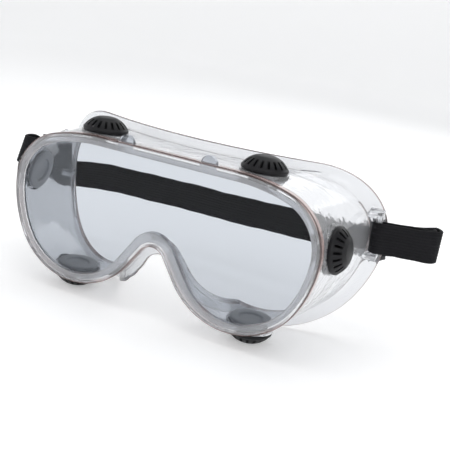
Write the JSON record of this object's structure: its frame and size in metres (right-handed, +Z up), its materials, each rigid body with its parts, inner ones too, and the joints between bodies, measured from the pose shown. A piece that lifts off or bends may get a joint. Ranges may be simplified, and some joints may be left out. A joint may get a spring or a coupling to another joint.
{
  "type": "safety goggles",
  "caption": "Clear soft-frame chemical splash goggles: flat lens in a rim, indirect vents with black slotted caps, a face flange, and an elastic head strap folded behind.",
  "frame": {"origin": "middle of the footprint, on the table that the goggles stand on", "axes": "+X sideways across the lens, -Y is the way the lens faces, +Z up as worn"},
  "size_m": [0.2351, 0.1007, 0.0874],
  "materials": {
    "clear_pvc": "clear glossy soft vinyl",
    "lens_sheet": "clear polished sheet",
    "vent_plastic": "satin black moulding",
    "strap_elastic": "black ribbed elastic webbing",
    "adjuster_plastic": "satin black moulding"
  },
  "bodies": {
    "frame": {"rim": "clear_pvc", "walls": "clear_pvc", "face_flange": "clear_pvc", "strap_lug_right": "clear_pvc", "strap_lug_left": "clear_pvc", "lens": "lens_sheet", "vent_insert_top_right": "vent_plastic", "vent_insert_bottom_right": "vent_plastic", "vent_insert_side_right": "vent_plastic", "vent_insert_top_left": "vent_plastic", "vent_insert_bottom_left": "vent_plastic", "vent_insert_side_left": "vent_plastic", "head_strap": "strap_elastic"},
    "top_right_cap": {"vent_cap_top_right": "vent_plastic"},
    "bottom_right_cap": {"vent_cap_bottom_right": "vent_plastic"},
    "side_right_cap": {"vent_cap_side_right": "vent_plastic"},
    "top_left_cap": {"vent_cap_top_left": "vent_plastic"},
    "bottom_left_cap": {"vent_cap_bottom_left": "vent_plastic"},
    "side_left_cap": {"vent_cap_side_left": "vent_plastic"},
    "adjuster": {"strap_adjuster": "adjuster_plastic"}
  },
  "joints": [
    {"name": "top_right_cap_pull", "type": "slide", "parent": "frame", "child": "top_right_cap", "axis": [0, 0, 1], "range_m": [0, 0.008]},
    {"name": "bottom_right_cap_pull", "type": "slide", "parent": "frame", "child": "bottom_right_cap", "axis": [0, 0, -1], "range_m": [0, 0.008]},
    {"name": "side_right_cap_pull", "type": "slide", "parent": "frame", "child": "side_right_cap", "axis": [0.9865, -0.0863, 0.1392], "range_m": [0, 0.008]},
    {"name": "top_left_cap_pull", "type": "slide", "parent": "frame", "child": "top_left_cap", "axis": [0, 0, 1], "range_m": [0, 0.008]},
    {"name": "bottom_left_cap_pull", "type": "slide", "parent": "frame", "child": "bottom_left_cap", "axis": [0, 0, -1], "range_m": [0, 0.008]},
    {"name": "side_left_cap_pull", "type": "slide", "parent": "frame", "child": "side_left_cap", "axis": [-0.9865, -0.0863, 0.1392], "range_m": [0, 0.008]},
    {"name": "adjuster_slide", "type": "slide", "parent": "frame", "child": "adjuster", "axis": [-0.9192, 0.296, -0.2595], "range_m": [-0.008, 0.012]}
  ]
}
